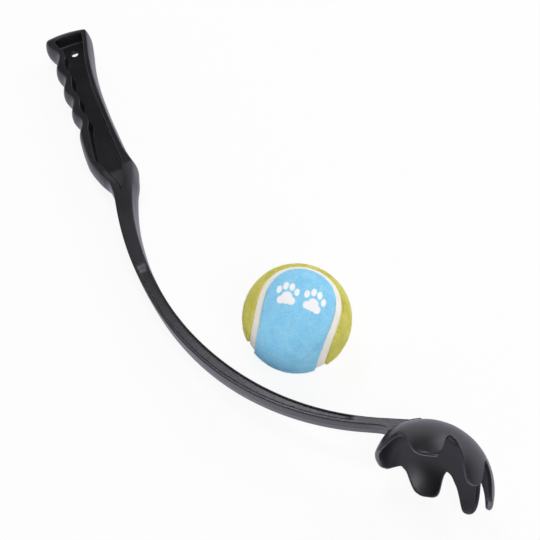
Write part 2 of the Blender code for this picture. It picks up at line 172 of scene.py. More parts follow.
palm_edge_shares = (
    (0.0, 1.08), (0.09, 0.94), (0.23, 0.69), (0.36, 0.545),
    (0.55, 0.475), (0.74, 0.50), (0.92, 0.60), (1.0, 0.735))
finger_edge_shares = (
    (0.0, 1.05), (0.2, 0.99), (0.45, 1.02), (0.68, 1.0), (0.76, 1.06),
    (0.84, 1.09), (0.91, 1.06), (0.965, 0.94), (1.0, 0.84))
palm_side_shares = (
    (0.0, 1.98), (0.02, 1.72), (0.05, 1.40), (0.10, 1.18), (0.145, 1.03),
    (0.27, 0.86), (0.456, 0.765), (0.64, 0.675), (0.824, 0.50), (1.0, 0.39))
finger_side_shares = (
    (0.0, 2.26), (0.02, 1.87), (0.05, 1.38), (0.08, 1.04), (0.11, 0.93), (0.145, 0.88),
    (0.27, 0.76), (0.36, 0.68), (0.456, 0.68), (0.64, 0.71), (0.824, 0.59), (1.0, 0.38))
depth_shares = ((0.0, 1.0), (0.05, 0.88), (0.15, 0.83), (0.45, 0.80), (1.0, 0.65))

# Rim of the cup: degrees round from the toe and degrees down from the dome's top, for one half
rim_deg = (
    (0.0, 86.0), (15.0, 86.2), (20.0, 83.5), (27.5, 59.0), (31.0, 56.0), (36.0, 60.0), (43.5, 82.0),
    (48.0, 86.5), (55.5, 87.8), (61.5, 86.0), (65.0, 67.0), (72.0, 56.0), (79.0, 52.5), (82.0, 54.0),
    (84.5, 70.0), (87.0, 77.0), (92.0, 80.5), (104.0, 83.4), (111.0, 82.0), (122.0, 69.0),
    (131.0, 66.5), (147.0, 78.0), (157.0, 81.0), (180.0, 81.0))
rim_rounding_deg = 2.2
claw_sweep = 0.30
sweep_start_deg = 60.0


def smooth_value(shares, place):
    """Value at a place on the smooth curve through (place, value) pairs."""
    places = [pair[0] for pair in shares]
    values = [pair[1] for pair in shares]
    slopes = np.gradient(values, places)
    place = min(max(place, places[0]), places[-1])
    index = min(int(np.searchsorted(places, place, side="right")) - 1, len(places) - 2)
    span = places[index + 1] - places[index]
    t = (place - places[index]) / span
    start = values[index] * (1 + 2 * t) + slopes[index] * span * t
    end = values[index + 1] * (3 - 2 * t) - slopes[index + 1] * span * (1 - t)
    return start * (1 - t) ** 2 + end * t ** 2


def ease(value, low, high):
    """Smooth step from 0 at low to 1 at high."""
    t = min(max((value - low) / (high - low), 0.0), 1.0)
    return t * t * (3 - 2 * t)


def mix(pair, share):
    """Value between the two of a pair."""
    return pair[0] + (pair[1] - pair[0]) * share


def spine_pieces():
    """Length and turn of each run of the spine, from the grip's end to the arm's."""
    neck_turn = math.radians(neck_turn_deg)
    pieces = [(grip_length + neck_reach, 0.0), (neck_radius * neck_turn, -neck_turn)]
    for radius, sweep_deg in zip(arm_radii, arm_sweeps_deg):
        sweep = math.radians(sweep_deg)
        pieces.append((radius * sweep, sweep))
    return pieces


spine_length = sum(length for length, turn in spine_pieces())
arm_length = spine_length - grip_length


def spine_at(distance):
    """Point, heading and left direction of the spine in the thrower's own plane."""
    point = Vector((0.0, 0.0, 0.0))
    heading = -math.radians(grip_lean_deg)
    for length, turn in spine_pieces():
        run = min(distance, length)
        bend = turn * run / length
        if turn:
            radius = length / turn
            point.x += radius * (math.sin(heading + bend) - math.sin(heading))
            point.y += radius * (math.cos(heading) - math.cos(heading + bend))
        else:
            point.x += run * math.cos(heading)
            point.y += run * math.sin(heading)
        heading += bend
        distance -= run
        if distance <= 0:
            break
    ahead = Vector((math.cos(heading), math.sin(heading), 0.0))
    left = Vector((-math.sin(heading), math.cos(heading), 0.0))
    return point + ahead * distance, ahead, left


def rest_hollow(distance):
    """Depth of the finger rests along the grip."""
    starts = [first_rest_start] + [
        first_rest_start + first_rest_length + index * rest_pitch for index in range(rest_count)]
    lengths = [first_rest_length] + [rest_pitch] * rest_count
    depths = [first_rest_depth] + [rest_depth] * rest_count
    for start, length, depth in zip(starts, lengths, depths):
        if start <= distance <= start + length:
            return depth * (1 - math.cos(2 * math.pi * (distance - start) / length)) / 2
    return 0.0


def corner_inset(distance, radius=pommel_radius):
    """How far a rounded corner of this radius draws in at a distance from its end."""
    if distance >= radius:
        return 0.0
    rise = radius - max(distance, 0.0)
    return radius - math.sqrt(radius ** 2 - rise ** 2)


def pommel_slip(distance):
    """How far the grip's slanted end runs out on the finger side, fading along the grip."""
    return pommel_slant * max(1 - distance / slant_reach, 0.0) ** 2


def end_bow(distance, share):
    """How far the end face draws back at a share of its half width, fading along the grip."""
    return pommel_bow * max(1 - distance / slant_reach, 0.0) ** 2 * (share ** 2 - 0.5)


def palm_offset(distance):
    """Edge of the moulding on the palm's side of the spine."""
    if distance <= grip_length:
        return grip_half_width * smooth_value(palm_edge_shares, distance / grip_length)
    return arm_half_width * smooth_value(palm_side_shares, (distance - grip_length) / arm_length)


def finger_offset(distance):
    """Edge of the moulding on the fingers' side of the spine, before the rests."""
    if distance <= grip_length:
        return grip_half_width * smooth_value(finger_edge_shares, distance / grip_length)
    return arm_half_width * smooth_value(finger_side_shares, (distance - grip_length) / arm_length)


def pocket_edges(distance):
    """Offsets of the pocket's palm and finger edges from the spine."""
    if distance > palm_point_edge[0][0]:
        return [float(np.interp(distance, *zip(*line))) for line in (palm_point_edge, finger_point_edge)]
    palm = palm_offset(distance) - palm_land
    finger = finger_offset(distance) - finger_land - rest_hollow(distance) * pocket_wave_share
    return palm, finger


def half_depth(distance):
    return grip_half_depth * smooth_value(depth_shares, (distance - grip_length) / arm_length)


def web_offset(past):
    """Edge of the web on the finger side, at a distance past the arm's end."""
    middle = ball_radius + cup_fit + cup_wall / 2
    level = ball_radius + cup_fit + cup_wall - cup_sink
    landing = math.radians(web_landing_deg - cup_tilt_deg)
    heel_place = cup_reach - middle * math.sin(landing)
    start = finger_offset(spine_length - web_start)
    if past <= heel_place:
        reach = heel_place + web_start
        depth = level - middle * math.cos(landing) - start
        along = (past + web_start) / reach
        return start + depth * (1 - max(1 - along ** web_sharpness, 0.0) ** (1 / web_sharpness))
    return level - math.sqrt(middle ** 2 - (cup_reach - past) ** 2)


def curved(start, corner, end, shares):
    """Points on the round between two sides of a corner."""
    found = []
    for t in shares:
        a = (start[0] + (corner[0] - start[0]) * t, start[1] + (corner[1] - start[1]) * t)
        b = (corner[0] + (end[0] - corner[0]) * t, corner[1] + (end[1] - corner[1]) * t)
        found.append((a[0] + (b[0] - a[0]) * t, a[1] + (b[1] - a[1]) * t))
    return found


def half_profile(edge, bulge, depth, inner, hollow, width, past):
    """One side's points, from the middle of the side up over the rim to the pocket's floor."""
    edge_round = mix(edge_rounds, past)
    rim = min(mix(rim_rounds, past), max(edge - edge_round - inner, 0.0) * 0.8)
    foot = min(mix(foot_rounds, past), width * 0.3)
    top = depth - edge_round
    points = [(edge + bulge + parting_rise, 0.0)]
    for share in (0.025, 0.25, 0.5, 0.75, 1.0):
        level = top * share
        points.append((edge + bulge * (1 - (level / depth) ** 2), level))
    points += curved(points[-1], (edge, depth), (edge - edge_round, depth), (0.25, 0.5, 0.75, 1.0))
    points.append(((edge - edge_round + inner + rim) / 2, depth))
    drop = min(rim, hollow / 2)
    lift = min(foot, hollow / 2)
    fall = max(hollow - drop - lift, 0.0)
    start = (inner + rim, depth)
    below = (inner, depth - drop)
    points += curved(start, (inner, depth), below, (0.0, 0.25, 0.5, 0.75, 1.0))
    lean = fall * wall_draft
    for share in (1 / 3, 2 / 3):
        points.append((inner - lean * share, depth - drop - fall * share))
    end = (inner - lean - foot, depth - hollow)
    low = (inner - lean, depth - hollow + lift)
    points += curved(low, (inner - lean, depth - hollow), end, (0.0, 0.25, 0.5, 0.75, 1.0))
    return points


def hollow_at(distance):
    """Depth of the hollow below the face, along the moulding."""
    depth = half_depth(distance)
    full = depth - web_thickness / 2
    if distance < point_end:
        rim, foot = rim_rounds[0], foot_rounds[0]
        if distance < pommel_land + rim:
            gone = min(max(distance - pommel_land + rim, 0.0), rim)
            deep = corner_inset(rim - gone, rim)
        elif distance < pommel_land + rim + full * wall_draft:
            deep = rim + (distance - pommel_land - rim) / (full * wall_draft) * (full - rim - foot)
        else:
            near = distance - pommel_land - rim - full * wall_draft
            deep = full - foot * (1 - math.sqrt(max(1 - (1 - min(near / foot, 1.0)) ** 2, 0.0))) \
                if near < foot else full
        deep = min(deep, full)
        shallow = shallow_depth * (1 - ease(distance, point_end - point_fade, point_end))
        blend = ease(distance, deep_end, deep_end + deep_ramp)
        return deep + (min(shallow, full) - deep) * blend
    arm_start = grip_length + channel_start
    arm_stop = spine_length - channel_stop
    return channel_depth * ease(distance, arm_start, arm_start + channel_fade) * (
        1 - ease(distance, arm_stop - channel_fade, arm_stop))


def section(distance):
    """Closed ring of points round the moulding, in its own plane's frame."""
    point, ahead, left = spine_at(distance)
    past = ease(distance, grip_length, grip_length + neck_reach + neck_radius)
    inset = corner_inset(distance)
    hollow_wave = rest_hollow(distance)
    palm = palm_offset(distance) - inset
    finger = finger_offset(distance) - hollow_wave - inset
    beyond = distance - spine_length
    crowns = [mix((palm_crown, arm_crown), past), mix((grip_crown, arm_crown), past)]
    slip = pommel_slip(distance) / (palm + finger)
    if beyond > -web_start:
        finger = web_offset(beyond)
        crowns[1] *= 1 - ease(beyond, -web_start, 0.0)
    depth = half_depth(distance) - inset * grip_crown / pommel_radius
    hollow = hollow_at(distance)
    draw = corner_inset(distance - pommel_land, pocket_corner)
    palm_in, finger_in = pocket_edges(distance)
    opening = ease(distance, point_end, grip_length + channel_start)
    palm_in = mix((palm_in - draw, palm - palm_rail), opening)
    finger_in = mix((finger_in - draw, finger - finger_rail), opening)
    width = max(palm_in + finger_in, 0.0002)
    one = half_profile(palm, crowns[0], depth, palm_in, hollow, width, past)
    two = half_profile(finger, crowns[1], depth, finger_in, hollow, width, past)
    near, far = one[-1], two[-1]
    floor = [(near[0] + (-far[0] - near[0]) * share, near[1]) for share in (0.25, 0.5, 0.75)]
    upper = one + floor + [(-across, up) for across, up in reversed(two)]
    lower = [(across, -up) for across, up in reversed(upper[1:-1])]
    middle, half = (palm - finger) / 2, (palm + finger) / 2
    ring = []
    for across, up in upper + lower:
        forward = end_bow(distance, (across - middle) / half) - slip * (palm - across)
        ring.append(point + left * across + ahead * forward + Vector((0.0, 0.0, up)))
    return ring


def new_mesh(name, points, faces, place, smooth_angle=None):
    data = bpy.data.meshes.new(name)
    data.from_pydata([tuple(place @ point) for point in points], [], faces)
    data.update()
    data.shade_smooth()
    if smooth_angle:
        data.set_sharp_from_angle(angle=math.radians(smooth_angle))
    item = bpy.data.objects.new(name, data)
    bpy.context.scene.collection.objects.link(item)
    return item


def lofted(name, sections, place, smooth_angle=None):
    """Closed body through a run of equal rings, with flat ends."""
    count = len(sections[0])
    points = [point for ring in sections for point in ring]
    faces = []
    for row in range(len(sections) - 1):
        for index in range(count):
            after = (index + 1) % count
            low, high = row * count, (row + 1) * count
            faces.append((low + index, high + index, high + after, low + after))
    faces.append(list(range(count)))
    last = (len(sections) - 1) * count
    faces.append(list(reversed(range(last, last + count))))
    return new_mesh(name, points, faces, place, smooth_angle)


def body_stations():
    """Distances along the spine, closest where the shape changes fastest."""
    rim, foot = rim_rounds[0], foot_rounds[0]
    full = grip_half_depth - web_thickness / 2
    wall = pommel_land + rim
    places = set()
    for share in (0.0, 0.02, 0.06, 0.13, 0.22, 0.34, 0.48, 0.64, 0.82):
        places.add(pommel_radius * share)
    for share in (0.0, 0.3, 0.5, 0.7, 0.85, 0.95, 1.0):
        places.add(pommel_land - rim + rim * share)
    places.update(pommel_land + rim * share for share in (0.5, 1.0))
    for share in (0.33, 0.66, 1.0):
        places.add(wall + full * wall_draft * share)
    for share in (0.08, 0.2, 0.35, 0.55, 0.8, 1.0):
        places.add(wall + full * wall_draft + foot * share)
    places.update(np.arange(wall + full * wall_draft + foot, deep_end, 0.00075))
    places.update(np.linspace(deep_end, deep_end + deep_ramp, 9))
    places.update(np.arange(deep_end + deep_ramp, point_end - point_fade, 0.00075))
    places.update(np.linspace(point_end - point_fade, point_end, 9))
    places.update(np.linspace(point_end, grip_length + channel_start, 40))
    channel_open = grip_length + channel_start
    places.update(np.linspace(channel_open, channel_open + channel_fade, 6))
    places.update(np.linspace(channel_open + channel_fade, spine_length - channel_stop, 84))
    places.update(np.linspace(spine_length - channel_stop, spine_length - web_start, 6))
    places.update(np.linspace(spine_length - web_start, spine_length + web_run_out, 60))
    ordered = sorted(places)
    kept = [ordered[0]]
    for place in ordered[1:]:
        if place - kept[-1] > 0.00002:
            kept.append(place)
    return kept


def cup_axes():
    """Cup's centre, the way to its dome, the way to its toe claw and the way up."""
    end, ahead, left = spine_at(spine_length)
    inner = ball_radius + cup_fit
    centre = end + ahead * cup_reach - left * (inner + cup_wall - cup_sink)
    tilt = math.radians(cup_tilt_deg)
    pole = left * math.cos(tilt) + ahead * math.sin(tilt)
    toe = ahead * math.cos(tilt) - left * math.sin(tilt)
    return centre, pole, toe, Vector((0.0, 0.0, 1.0))


def claw_limit(angle_deg):
    """How far the shell reaches from the dome's top in a direction counted from the toe."""
    around = angle_deg + np.linspace(-rim_rounding_deg, rim_rounding_deg, 9)
    folded = np.abs((around + 180.0) % 360.0 - 180.0)
    return float(np.mean(np.interp(folded, *zip(*rim_deg))))


def cup_shell(place):
    """Clawed shell with softly rounded edges."""
    columns, rings = 288, 12
    centre, pole, toe, up = cup_axes()
    outer = ball_radius + cup_fit + cup_wall
    tuck_start = math.radians(heel_tuck_start_deg)
    heel_reach = math.radians(rim_deg[-1][1])
    sweep_start = math.radians(sweep_start_deg)
    edge_loop = cup_wall * 0.35 / outer
    points, faces = [], []
    starts = []
    for layer in (0, 1):
        starts.append(len(points))
        points.append(centre + pole * (outer - cup_wall * layer))
        for column in range(columns):
            turn = 2 * math.pi * column / columns
            limit = math.radians(claw_limit(math.degrees(turn)))
            polars = [(limit - edge_loop) * (ring + 1) / (rings - 1) for ring in range(rings - 1)]
            polars.append(limit)
            for polar in polars:
                share = max(polar - tuck_start, 0.0) / (heel_reach - tuck_start)
                tuck = heel_tuck * max(-math.cos(turn), 0.0) ** heel_narrowing * share
                radius = outer - tuck - cup_wall * layer
                swept = turn - claw_sweep * max(polar - sweep_start, 0.0) * math.sin(turn)
                out = toe * math.cos(swept) + up * math.sin(swept)
                points.append(centre + (pole * math.cos(polar) + out * math.sin(polar)) * radius)
    for layer, start in enumerate(starts):
        for column in range(columns):
            one = start + 1 + column * rings
            two = start + 1 + (column + 1) % columns * rings
            fan = (start, one, two)
            faces.append(fan if layer == 0 else fan[::-1])
            for ring in range(rings - 1):
                quad = (one + ring, one + ring + 1, two + ring + 1, two + ring)
                faces.append(quad if layer == 0 else quad[::-1])
    for column in range(columns):
        one = column * rings + rings
        two = (column + 1) % columns * rings + rings
        faces.append((starts[0] + one, starts[1] + one, starts[1] + two, starts[0] + two))
    cup = new_mesh("cup_shell", points, faces, place)
    smooth = cup.modifiers.new("smooth", "SUBSURF")
    smooth.levels = smooth.render_levels = 1
    return cup


def ring_profile(points):
    """Small turned ring: profile of (radius, height) pairs, closed on itself."""
    steps = 48
    spots, faces = [], []
    count = len(points)
    for step in range(steps):
        turn = 2 * math.pi * step / steps
        for radius, height in points:
            spots.append(Vector((radius * math.cos(turn), radius * math.sin(turn), height)))
    for step in range(steps):
        for index in range(count):
            after = (index + 1) % count
            one, two = step * count, (step + 1) % steps * count
            faces.append((one + index, two + index, two + after, one + after))
    return spots, faces


def make_thrower(place):
    """Grip, arm and web in one run, the hang hole's boss, and the cup."""
    body = lofted("grip_and_arm", [section(spot) for spot in body_stations()], place, 40)
    spot, _, left = spine_at(hang_hole_along)
    spot = spot + left * hang_hole_aside
    seat = place @ Matrix.Translation(spot)
    bpy.ops.mesh.primitive_cylinder_add(
        vertices=48, radius=(hang_hole_radius + hang_boss_radius) / 2, depth=grip_half_depth)
    drill = bpy.context.object
    drill.name = "hang_hole_drill"
    drill.matrix_world = seat
    cut = body.modifiers.new("hang_hole", "BOOLEAN")
    cut.object = drill
    cut.operation = "DIFFERENCE"
    bpy.context.view_layer.update()
    shape = bpy.data.meshes.new_from_object(body.evaluated_get(bpy.context.evaluated_depsgraph_get()))
    body.modifiers.clear()
    body.data = shape
    bpy.data.objects.remove(drill)

    high = web_thickness / 2 + hang_boss_height
    soft = hang_boss_height / 3
    wide, narrow = hang_boss_radius, hang_hole_radius
    side = [(narrow + soft * 0.3, high - soft), (narrow + soft * 1.2, high), (wide - soft, high),
            (wide - soft * 0.3, high - soft * 0.3), (wide, high - soft)]
    profile = [(narrow, 0.0)] + side + [(radius, -height) for radius, height in reversed(side)]
    spots, faces = ring_profile(profile)
    boss = new_mesh("hang_hole_boss", spots, faces, seat, 50)
    cup = cup_shell(place)
    return [body, boss, cup]


def seam_curve(t):
    """Closed tennis ball curve over the unit sphere."""
    waist = math.radians(seam_waist_deg)
    polar = math.pi / 2 - (math.pi / 2 - waist) * math.cos(t)
    turn = t / 2 + seam_swing * math.sin(2 * t)
    across = math.sin(polar)
    return Vector((across * math.cos(turn), across * math.sin(turn), math.cos(polar)))


def seam_point(share, aside):
    """Direction to the seam at a share of its run, moved towards the blue felt by an angle."""
    t = 4 * math.pi * share
    step = 1 / 64
    spot = seam_curve(t)
    side = spot.cross(seam_curve(t + step) - seam_curve(t - step)).normalized()
    return spot * math.cos(aside) + side * math.sin(aside)


def panel_edge(flip, columns):
    """Hand-cut edge of a felt panel as directions round it."""
    aside = (seam_width / 2 + ball_gap) / ball_radius
    found = []
    for column in range(columns):
        share = (column + 0.5) / columns
        spot = seam_point(share, aside * flip)
        waver = noise.noise(spot * 9.0 + Vector((flip * 5.0, 0.0, 0.0))) * felt_edge_waver
        found.append(seam_point(share, (aside + waver) * flip))
    return found


def felt_relief(spot):
    """Uneven height of the felt over the ball, in metres."""
    broad = noise.noise(spot * 5.0)
    tuft = noise.noise(spot * 21.0 + Vector((3.1, 7.7, 1.3)))
    fine = noise.noise(spot * 60.0 + Vector((9.2, 0.4, 5.5)))
    return felt_waves * broad + felt_tufts * tuft + felt_nap * fine


def felt_panel(name, flip, place):
    """One dog-bone cover: a domed skin whose edge rolls down to the core."""
    columns, rings = 256, 60
    edge = panel_edge(flip, columns)
    edge_array = np.array([tuple(spot) for spot in edge])
    pole = Vector((0.0, 0.0, 1.0)) * flip
    roll = felt_edge_roll / ball_radius
    inner = ball_radius - felt_thickness
    points = [pole * (ball_radius + felt_relief(pole))]
    for column in range(columns):
        limit = pole.angle(edge[column])
        out = (edge[column] - pole * edge[column].dot(pole)).normalized()
        for ring in range(rings):
            share = (ring + 1) / rings
            polar = limit * (1 - (1 - share) ** 1.25)
            spot = pole * math.cos(polar) + out * math.sin(polar)
            near = math.acos(min(float(np.max(edge_array @ np.array(spot))), 1.0))
            sunk = 1 - math.sqrt(max(1 - (1 - min(near / roll, 1.0)) ** 2, 0.0))
            radius = ball_radius + felt_relief(spot) - felt_edge_drop * sunk
            points.append(spot * radius)
        points.append(edge[column] * inner)
    faces = []
    run = rings + 1
    for column in range(columns):
        one, two = 1 + column * run, 1 + (column + 1) % columns * run
        faces.append((0, one, two))
        for ring in range(rings):
            faces.append((one + ring, one + ring + 1, two + ring + 1, two + ring))
    if flip < 0:
        faces = [face[::-1] for face in faces]
    return new_mesh(name, points, faces, place), edge


def felt_fibres(name, edge, flip, seed, place):
    """Short loose fibres that stand off the felt."""
    random = np.random.default_rng(seed)
    pole = Vector((0.0, 0.0, 1.0)) * flip
    azimuths, limits = [], []
    for spot in edge:
        azimuths.append(math.atan2(spot.y, spot.x))
        limits.append(pole.angle(spot))
    order = np.argsort(azimuths)
    azimuths, limits = np.array(azimuths)[order], np.array(limits)[order]
    points, faces = [], []
    made = 0
    while made < fibre_count:
        raw = random.normal(size=3)
        spot = Vector(raw / np.linalg.norm(raw))
        polar = pole.angle(spot)
        limit = float(np.interp(math.atan2(spot.y, spot.x), azimuths, limits, period=2 * math.pi))
        lie = random.normal(size=3)
        length, width = random.uniform(*fibre_lengths), random.uniform(*fibre_widths)
        rise, turn = random.uniform(*fibre_rises), random.uniform(*fibre_turns)
        if polar > limit - fibre_edge_clearance:
            continue
        side = (Vector(lie) - spot * spot.dot(Vector(lie))).normalized()
        cross = spot.cross(side)
        root = spot * (ball_radius + felt_relief(spot) - fibre_root)
        lean = (side + spot * rise).normalized()
        bend = (side + cross * turn + spot * rise * 0.5).normalized()
        middle = root + lean * length * 0.5
        tip = middle + bend * length * 0.5
        made += 1
        if (place @ tip).z < fibre_floor_clearance:
            continue
        first = len(points)
        points += [root - cross * width / 2, root + cross * width / 2,
                   middle - cross * width / 2, middle + cross * width / 2, tip]
        faces += [(first, first + 1, first + 3, first + 2), (first + 2, first + 3, first + 4)]
    return new_mesh(name, points, faces, place)


def seam_band(place):
    """Cream seam that fills the gap between the two panels."""
    steps = 360
    half = (seam_width / 2 + ball_gap) / ball_radius
    top = ball_radius - seam_sink
    inner = ball_radius - felt_thickness
    side = [(share, top - drop) for share, drop in seam_shoulders] + [(seam_foot_share, inner)]
    rows = [(-share, radius) for share, radius in reversed(side)] + [(0.0, top)] + side
    points, faces = [], []
    for step in range(steps):
        for aside, radius in rows:
            spot = seam_point(step / steps, half * aside)
            ripple = noise.noise(spot * 40.0) * seam_ripple
            points.append(spot * (radius + ripple))
    count = len(rows)
    for step in range(steps):
        one, two = step * count, (step + 1) % steps * count
        for index in range(count - 1):
            faces.append((one + index, one + index + 1, two + index + 1, two + index))
    return new_mesh("cream_seam", points, faces, place)


def shader_nodes(name):
    material = bpy.data.materials.new(name)
    material.use_nodes = True
    tree = material.node_tree
    return material, tree, tree.nodes["Principled BSDF"]


def add(tree, kind, **values):
    """Node with its inputs set by name or number; a socket is linked and a value is set."""
    node = tree.nodes.new(kind)
    settings = values.pop("settings", {})
    for key, value in settings.items():
        setattr(node, key, value)
    for key, value in values.items():
        name = key.replace("_", " ")
        socket = node.inputs[int(key[1:])] if key[0] == "i" and key[1:].isdigit() else node.inputs[name]
        if isinstance(value, bpy.types.NodeSocket):
            tree.links.new(value, socket)
        else:
            socket.default_value = value
    return node


def maths(tree, operation, one, two=0.0):
    return add(tree, "ShaderNodeMath", settings={"operation": operation}, i0=one, i1=two).outputs[0]


def ramp(tree, value, low, high, bottom=0.0, top=1.0):
    node = add(tree, "ShaderNodeMapRange", Value=value, From_Min=low, From_Max=high,
               To_Min=bottom, To_Max=top)
    return node.outputs["Result"]


def noise_map(tree, place, scale, detail=4.0, roughness=0.55, distortion=0.0):
    return add(tree, "ShaderNodeTexNoise", Vector=place, Scale=scale, Detail=detail,
               Roughness=roughness, Distortion=distortion).outputs["Fac"]


def blend_colours(tree, share, one, two, kind="MIX"):
    node = tree.nodes.new("ShaderNodeMix")
    node.data_type = "RGBA"
    node.blend_type = kind
    for socket, value in ((node.inputs[0], share), (node.inputs[6], one), (node.inputs[7], two)):
        if isinstance(value, bpy.types.NodeSocket):
            tree.links.new(value, socket)
        else:
            socket.default_value = value if socket.type == "VALUE" else (*value, 1.0)
    return node.outputs[2]


def plastic_material():
    """Black injection-moulded plastic: satin, finely grained, with faint handling marks."""
    material, tree, shader = shader_nodes("black_moulded_plastic")
    place = add(tree, "ShaderNodeTexCoord").outputs["Object"]
    patches = noise_map(tree, place, 34.0, 3.0)
    grain = noise_map(tree, place, 2600.0, 2.0)
    dust = noise_map(tree, place, 420.0, 6.0, 0.7)
    tone = blend_colours(
        tree, ramp(tree, patches, 0.35, 0.65), (0.0062, 0.0060, 0.0072), (0.0095, 0.0092, 0.0110))
    specks = ramp(tree, dust, 0.66, 0.78, 0.0, 0.35)
    tree.links.new(blend_colours(tree, specks, tone, (0.032, 0.031, 0.034)), shader.inputs["Base Color"])
    stretched = add(tree, "ShaderNodeMapping", Vector=place, Scale=(1.0, 5.0, 5.0)).outputs["Vector"]
    scuffs = noise_map(tree, stretched, 190.0, 5.0, 0.65)
    satin = ramp(tree, patches, 0.3, 0.7, 0.31, 0.37)
    rough = maths(tree, "ADD", satin, ramp(tree, scuffs, 0.45, 0.75, 0.0, 0.06))
    tree.links.new(rough, shader.inputs["Roughness"])
    shader.inputs["IOR"].default_value = 1.5
    shader.inputs["Specular Tint"].default_value = (0.93, 0.90, 1.0, 1.0)
    bump = add(tree, "ShaderNodeBump", Strength=0.16, Distance=0.0001, Height=grain)
    broad = add(tree, "ShaderNodeBump", Strength=0.10, Distance=0.0006, Height=patches,
                Normal=bump.outputs[0])
    tree.links.new(broad.outputs[0], shader.inputs["Normal"])
    return material


def rubber_material():
    """Dull black rubber of the ball's core."""
    material, tree, shader = shader_nodes("black_core_rubber")
    place = add(tree, "ShaderNodeTexCoord").outputs["Object"]
    pits = noise_map(tree, place, 900.0, 4.0)
    tone = blend_colours(tree, pits, (0.035, 0.034, 0.033), (0.07, 0.068, 0.066))
    tree.links.new(tone, shader.inputs["Base Color"])
    shader.inputs["Roughness"].default_value = 0.82
    bump = add(tree, "ShaderNodeBump", Strength=0.3, Distance=0.0002, Height=pits)
    tree.links.new(bump.outputs[0], shader.inputs["Normal"])
    return material


# Generic paw print: ellipses as (right, up, half width, half height, lean), lengths in metres
paw_toes = (
    (-0.00535, 0.00500, 0.00150, 0.00245, 2.0), (-0.00195, 0.00765, 0.00155, 0.00245, 0.0),
    (0.00185, 0.00745, 0.00155, 0.00245, 7.0), (0.00525, 0.00450, 0.00145, 0.00230, 3.0))
paw_pads = (
    (0.0, 0.00110, 0.00310, 0.00290, 0.0), (-0.00280, -0.00120, 0.00255, 0.00235, 20.0),
    (0.00280, -0.00120, 0.00255, 0.00235, -20.0), (0.0, -0.00090, 0.00400, 0.00250, 0.0))
paw_spots_deg = ((85.4, -75.1, 2.8), (85.4, -102.7, -5.5))


def paw_mask(tree, place, ragged, polar_deg, turn_deg, lean_deg):
    """Share of white print over one paw."""
    polar, turn, lean = math.radians(polar_deg), math.radians(turn_deg), math.radians(lean_deg)
    centre = Vector((math.sin(polar) * math.cos(turn), math.sin(polar) * math.sin(turn), math.cos(polar)))
    down = Vector((0.0, 0.0, -1.0))
    upward = (down - centre * centre.dot(down)).normalized()
    upward.rotate(Matrix.Rotation(lean, 3, centre))
    right = upward.cross(centre)

    def along(direction):
        node = add(tree, "ShaderNodeVectorMath", settings={"operation": "DOT_PRODUCT"}, i0=place)
        node.inputs[1].default_value = direction
        return node.outputs["Value"]

    flat = add(tree, "ShaderNodeCombineXYZ", X=along(right), Y=along(upward)).outputs[0]
    total = None
    for across, up, half_width, half_height, tilt in paw_toes + paw_pads:
        node = add(tree, "ShaderNodeMapping", settings={"vector_type": "TEXTURE"}, Vector=flat,
                   Location=(across, up, 0.0), Rotation=(0.0, 0.0, math.radians(tilt)),
                   Scale=(half_width, half_height, 1.0))
        span = add(tree, "ShaderNodeVectorMath", settings={"operation": "LENGTH"}, i0=node.outputs[0])
        edge = maths(tree, "ADD", span.outputs["Value"], ragged)
        patch = ramp(tree, edge, 1.12, 0.92)
        total = patch if total is None else maths(tree, "MAXIMUM", total, patch)
    facing = maths(tree, "GREATER_THAN", along(centre), 0.0)
    return maths(tree, "MULTIPLY", total, facing)


def ball_coordinates(tree):
    """Places on the ball counted from its centre and along its own axes."""
    place = add(tree, "ShaderNodeTexCoord").outputs["Object"]
    node = add(tree, "ShaderNodeMapping", settings={"vector_type": "TEXTURE"}, Vector=place,
               Location=ball_centre, Rotation=[math.radians(angle) for angle in ball_turn_deg])
    return node.outputs["Vector"]


def felt_material(name, deep, plain, pale, printed):
    """Short woolly felt: mottled dye, pressed fibres and a soft bloom at grazing angles."""
    material, tree, shader = shader_nodes(name)
    place = ball_coordinates(tree)
    clouds = noise_map(tree, place, 130.0, 4.0, 0.6)
    wisps = noise_map(tree, place, 620.0, 5.0, 0.65, 2.5)
    fuzz = noise_map(tree, place, 2300.0, 4.0, 0.7, 1.0)
    tone = blend_colours(tree, ramp(tree, clouds, 0.32, 0.68), plain, pale)
    tone = blend_colours(tree, ramp(tree, wisps, 0.52, 0.36, 0.0, 0.55), tone, deep)
    tone = blend_colours(tree, ramp(tree, fuzz, 0.55, 0.75, 0.0, 0.28), tone, (0.86, 0.90, 0.92))
    if printed:
        ragged = ramp(tree, fuzz, 0.3, 0.7, -0.09, 0.09)
        masks = [paw_mask(tree, place, ragged, *spot) for spot in paw_spots_deg]
        worn = ramp(tree, wisps, 0.30, 0.44, 0.82, 1.0)
        mask = maths(tree, "MULTIPLY", maths(tree, "MAXIMUM", masks[0], masks[1]), worn)
        tone = blend_colours(tree, mask, tone, (1.0, 0.99, 1.0))
    tree.links.new(tone, shader.inputs["Base Color"])
    shader.inputs["Roughness"].default_value = 0.95
    shader.inputs["Specular IOR Level"].default_value = 0.15
    shader.inputs["Sheen Weight"].default_value = 0.35
    shader.inputs["Sheen Roughness"].default_value = 0.55
    shader.inputs["Sheen Tint"].default_value = (*pale, 1.0)
    height = maths(tree, "ADD", maths(tree, "MULTIPLY", fuzz, 0.5), wisps)
    bump = add(tree, "ShaderNodeBump", Strength=0.55, Distance=0.0004, Height=height)
    tree.links.new(bump.outputs[0], shader.inputs["Normal"])
    return material


